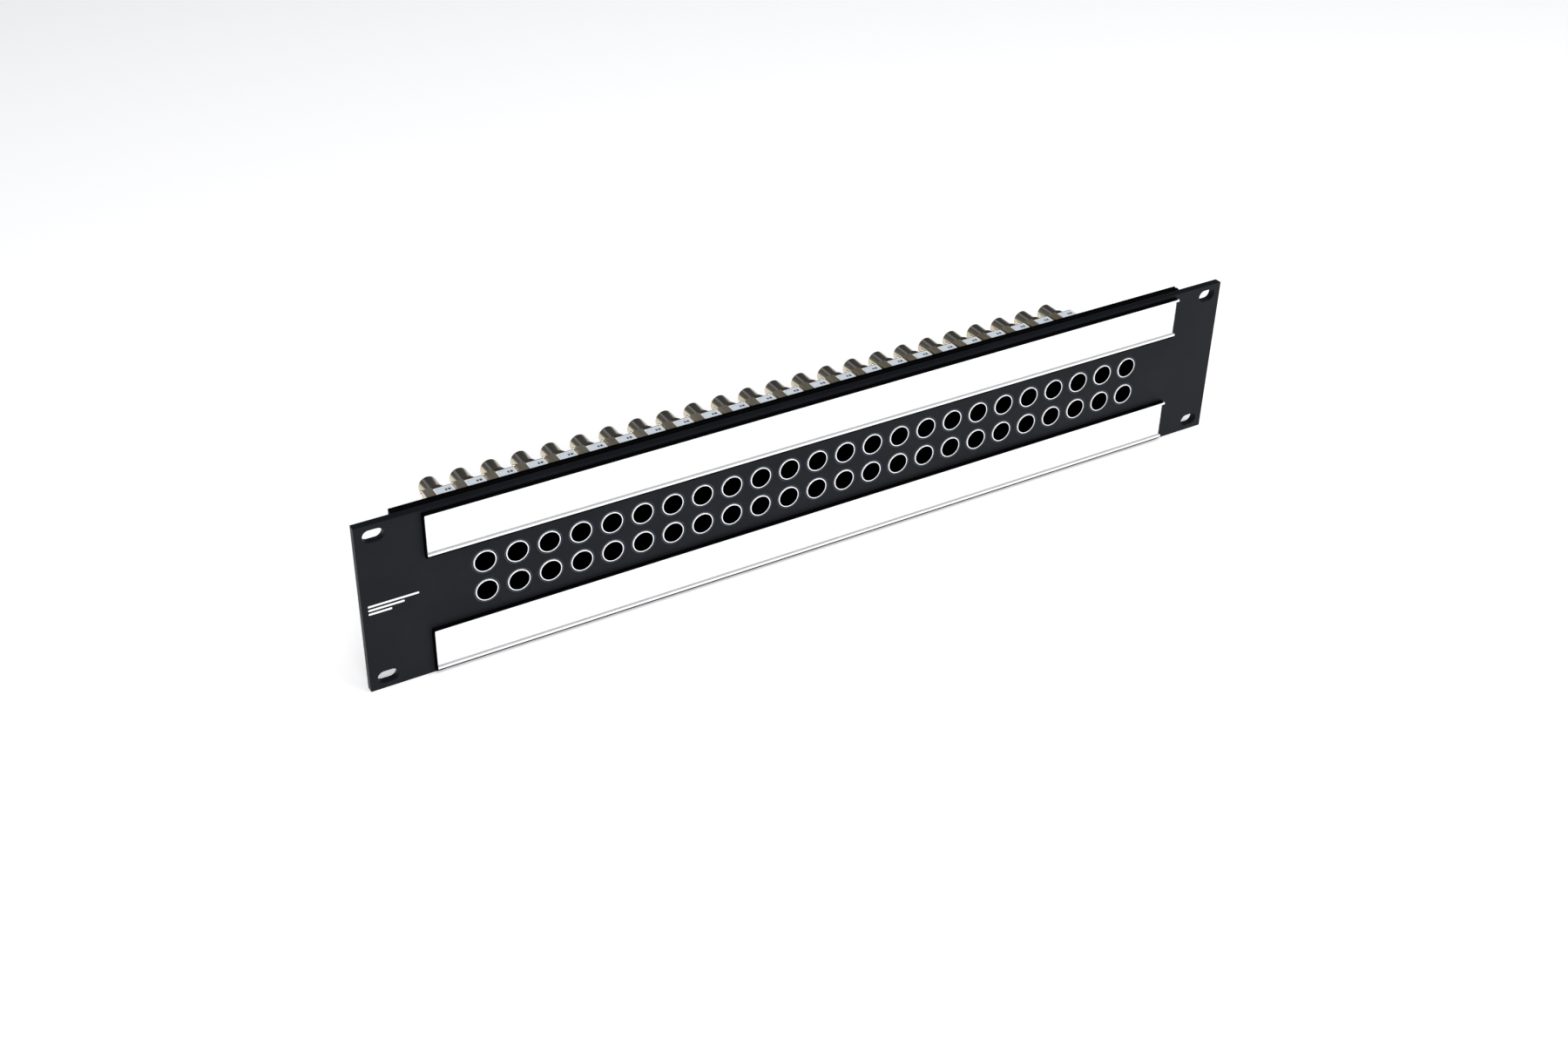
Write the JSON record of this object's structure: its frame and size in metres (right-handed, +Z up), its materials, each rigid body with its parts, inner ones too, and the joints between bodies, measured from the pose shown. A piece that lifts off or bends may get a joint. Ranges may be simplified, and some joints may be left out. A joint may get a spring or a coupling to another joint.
{
  "type": "coaxial patch bay",
  "caption": "Two-unit rack patch bay with rows of coaxial jack modules, label strips above and below, and bayonet connectors at the rear.",
  "frame": {"origin": "centre of the rack slot pattern, on the front face of the panel", "axes": "+X along the panel to the right seen from the front, +Y to the rear, +Z up"},
  "size_m": [0.4826, 0.0718, 0.0882],
  "materials": {
    "panel_black": "satin black anodised",
    "rail_black": "satin black anodised",
    "holder_black": "black extruded plastic",
    "clear_lens": "clear extruded plastic",
    "white_card": "matt white card",
    "zinc_steel": "zinc plated",
    "cast_nickel": "nickel plated die casting",
    "sheet_nickel": "nickel plated sheet",
    "turned_nickel": "nickel plated, turned",
    "carrier_black": "black moulded plastic",
    "dielectric_white": "white dielectric plastic",
    "gold_contact": "gold flashed",
    "strap_brass": "plain brass",
    "resistor_blue": "lacquered resistor",
    "label_white": "white film label",
    "spring_steel": "spring strip",
    "shuttle_black": "black moulded acetal"
  },
  "bodies": {
    "frame": {"bnc_barrels": "turned_nickel", "bnc_contacts": "gold_contact", "bnc_dielectrics": "dielectric_white", "contact_carriers": "carrier_black", "cover_screws": "zinc_steel", "front_panel": "panel_black", "jack_contacts": "gold_contact", "jack_housings": "cast_nickel", "jack_sleeves": "turned_nickel", "lower_rail": "rail_black", "lower_strip_holder": "holder_black", "lower_strip_lens": "clear_lens", "module_labels": "label_white", "module_screws": "zinc_steel", "rail_screws": "zinc_steel", "return_springs": "spring_steel", "side_covers": "sheet_nickel", "signal_straps": "strap_brass", "terminating_resistors": "resistor_blue", "upper_rail": "rail_black", "upper_strip_holder": "holder_black", "upper_strip_lens": "clear_lens"},
    "lower_label_card": {"lower_label_card": "white_card"},
    "normalling_shuttle_01": {"normalling_shuttle_01": "shuttle_black"},
    "normalling_shuttle_02": {"normalling_shuttle_02": "shuttle_black"},
    "normalling_shuttle_03": {"normalling_shuttle_03": "shuttle_black"},
    "normalling_shuttle_04": {"normalling_shuttle_04": "shuttle_black"},
    "normalling_shuttle_05": {"normalling_shuttle_05": "shuttle_black"},
    "normalling_shuttle_06": {"normalling_shuttle_06": "shuttle_black"},
    "normalling_shuttle_07": {"normalling_shuttle_07": "shuttle_black"},
    "normalling_shuttle_08": {"normalling_shuttle_08": "shuttle_black"},
    "normalling_shuttle_09": {"normalling_shuttle_09": "shuttle_black"},
    "normalling_shuttle_10": {"normalling_shuttle_10": "shuttle_black"},
    "normalling_shuttle_11": {"normalling_shuttle_11": "shuttle_black"},
    "normalling_shuttle_12": {"normalling_shuttle_12": "shuttle_black"},
    "normalling_shuttle_13": {"normalling_shuttle_13": "shuttle_black"},
    "normalling_shuttle_14": {"normalling_shuttle_14": "shuttle_black"},
    "normalling_shuttle_15": {"normalling_shuttle_15": "shuttle_black"},
    "normalling_shuttle_16": {"normalling_shuttle_16": "shuttle_black"},
    "normalling_shuttle_17": {"normalling_shuttle_17": "shuttle_black"},
    "normalling_shuttle_18": {"normalling_shuttle_18": "shuttle_black"},
    "normalling_shuttle_19": {"normalling_shuttle_19": "shuttle_black"},
    "normalling_shuttle_20": {"normalling_shuttle_20": "shuttle_black"},
    "normalling_shuttle_21": {"normalling_shuttle_21": "shuttle_black"},
    "normalling_shuttle_22": {"normalling_shuttle_22": "shuttle_black"},
    "normalling_shuttle_23": {"normalling_shuttle_23": "shuttle_black"},
    "normalling_shuttle_24": {"normalling_shuttle_24": "shuttle_black"},
    "upper_label_card": {"upper_label_card": "white_card"}
  },
  "joints": [
    {"name": "shuttle_01_slide", "type": "slide", "parent": "frame", "child": "normalling_shuttle_01", "axis": [0, 1, 0], "range_m": [0, 0.003], "stiffness_N_per_m": 60, "springref_m": -0.0005, "deforming": ["return_springs"]},
    {"name": "shuttle_02_slide", "type": "slide", "parent": "frame", "child": "normalling_shuttle_02", "axis": [0, 1, 0], "range_m": [0, 0.003], "stiffness_N_per_m": 60, "springref_m": -0.0005, "deforming": ["return_springs"]},
    {"name": "shuttle_03_slide", "type": "slide", "parent": "frame", "child": "normalling_shuttle_03", "axis": [0, 1, 0], "range_m": [0, 0.003], "stiffness_N_per_m": 60, "springref_m": -0.0005, "deforming": ["return_springs"]},
    {"name": "shuttle_04_slide", "type": "slide", "parent": "frame", "child": "normalling_shuttle_04", "axis": [0, 1, 0], "range_m": [0, 0.003], "stiffness_N_per_m": 60, "springref_m": -0.0005, "deforming": ["return_springs"]},
    {"name": "shuttle_05_slide", "type": "slide", "parent": "frame", "child": "normalling_shuttle_05", "axis": [0, 1, 0], "range_m": [0, 0.003], "stiffness_N_per_m": 60, "springref_m": -0.0005, "deforming": ["return_springs"]},
    {"name": "shuttle_06_slide", "type": "slide", "parent": "frame", "child": "normalling_shuttle_06", "axis": [0, 1, 0], "range_m": [0, 0.003], "stiffness_N_per_m": 60, "springref_m": -0.0005, "deforming": ["return_springs"]},
    {"name": "shuttle_07_slide", "type": "slide", "parent": "frame", "child": "normalling_shuttle_07", "axis": [0, 1, 0], "range_m": [0, 0.003], "stiffness_N_per_m": 60, "springref_m": -0.0005, "deforming": ["return_springs"]},
    {"name": "shuttle_08_slide", "type": "slide", "parent": "frame", "child": "normalling_shuttle_08", "axis": [0, 1, 0], "range_m": [0, 0.003], "stiffness_N_per_m": 60, "springref_m": -0.0005, "deforming": ["return_springs"]},
    {"name": "shuttle_09_slide", "type": "slide", "parent": "frame", "child": "normalling_shuttle_09", "axis": [0, 1, 0], "range_m": [0, 0.003], "stiffness_N_per_m": 60, "springref_m": -0.0005, "deforming": ["return_springs"]},
    {"name": "shuttle_10_slide", "type": "slide", "parent": "frame", "child": "normalling_shuttle_10", "axis": [0, 1, 0], "range_m": [0, 0.003], "stiffness_N_per_m": 60, "springref_m": -0.0005, "deforming": ["return_springs"]},
    {"name": "shuttle_11_slide", "type": "slide", "parent": "frame", "child": "normalling_shuttle_11", "axis": [0, 1, 0], "range_m": [0, 0.003], "stiffness_N_per_m": 60, "springref_m": -0.0005, "deforming": ["return_springs"]},
    {"name": "shuttle_12_slide", "type": "slide", "parent": "frame", "child": "normalling_shuttle_12", "axis": [0, 1, 0], "range_m": [0, 0.003], "stiffness_N_per_m": 60, "springref_m": -0.0005, "deforming": ["return_springs"]},
    {"name": "shuttle_13_slide", "type": "slide", "parent": "frame", "child": "normalling_shuttle_13", "axis": [0, 1, 0], "range_m": [0, 0.003], "stiffness_N_per_m": 60, "springref_m": -0.0005, "deforming": ["return_springs"]},
    {"name": "shuttle_14_slide", "type": "slide", "parent": "frame", "child": "normalling_shuttle_14", "axis": [0, 1, 0], "range_m": [0, 0.003], "stiffness_N_per_m": 60, "springref_m": -0.0005, "deforming": ["return_springs"]},
    {"name": "shuttle_15_slide", "type": "slide", "parent": "frame", "child": "normalling_shuttle_15", "axis": [0, 1, 0], "range_m": [0, 0.003], "stiffness_N_per_m": 60, "springref_m": -0.0005, "deforming": ["return_springs"]},
    {"name": "shuttle_16_slide", "type": "slide", "parent": "frame", "child": "normalling_shuttle_16", "axis": [0, 1, 0], "range_m": [0, 0.003], "stiffness_N_per_m": 60, "springref_m": -0.0005, "deforming": ["return_springs"]},
    {"name": "shuttle_17_slide", "type": "slide", "parent": "frame", "child": "normalling_shuttle_17", "axis": [0, 1, 0], "range_m": [0, 0.003], "stiffness_N_per_m": 60, "springref_m": -0.0005, "deforming": ["return_springs"]},
    {"name": "shuttle_18_slide", "type": "slide", "parent": "frame", "child": "normalling_shuttle_18", "axis": [0, 1, 0], "range_m": [0, 0.003], "stiffness_N_per_m": 60, "springref_m": -0.0005, "deforming": ["return_springs"]},
    {"name": "shuttle_19_slide", "type": "slide", "parent": "frame", "child": "normalling_shuttle_19", "axis": [0, 1, 0], "range_m": [0, 0.003], "stiffness_N_per_m": 60, "springref_m": -0.0005, "deforming": ["return_springs"]},
    {"name": "shuttle_20_slide", "type": "slide", "parent": "frame", "child": "normalling_shuttle_20", "axis": [0, 1, 0], "range_m": [0, 0.003], "stiffness_N_per_m": 60, "springref_m": -0.0005, "deforming": ["return_springs"]},
    {"name": "shuttle_21_slide", "type": "slide", "parent": "frame", "child": "normalling_shuttle_21", "axis": [0, 1, 0], "range_m": [0, 0.003], "stiffness_N_per_m": 60, "springref_m": -0.0005, "deforming": ["return_springs"]},
    {"name": "shuttle_22_slide", "type": "slide", "parent": "frame", "child": "normalling_shuttle_22", "axis": [0, 1, 0], "range_m": [0, 0.003], "stiffness_N_per_m": 60, "springref_m": -0.0005, "deforming": ["return_springs"]},
    {"name": "shuttle_23_slide", "type": "slide", "parent": "frame", "child": "normalling_shuttle_23", "axis": [0, 1, 0], "range_m": [0, 0.003], "stiffness_N_per_m": 60, "springref_m": -0.0005, "deforming": ["return_springs"]},
    {"name": "shuttle_24_slide", "type": "slide", "parent": "frame", "child": "normalling_shuttle_24", "axis": [0, 1, 0], "range_m": [0, 0.003], "stiffness_N_per_m": 60, "springref_m": -0.0005, "deforming": ["return_springs"]},
    {"name": "upper_card_slide", "type": "slide", "parent": "frame", "child": "upper_label_card", "axis": [1, 0, 0], "range_m": [0, 0.15]},
    {"name": "lower_card_slide", "type": "slide", "parent": "frame", "child": "lower_label_card", "axis": [1, 0, 0], "range_m": [0, 0.15]}
  ]
}
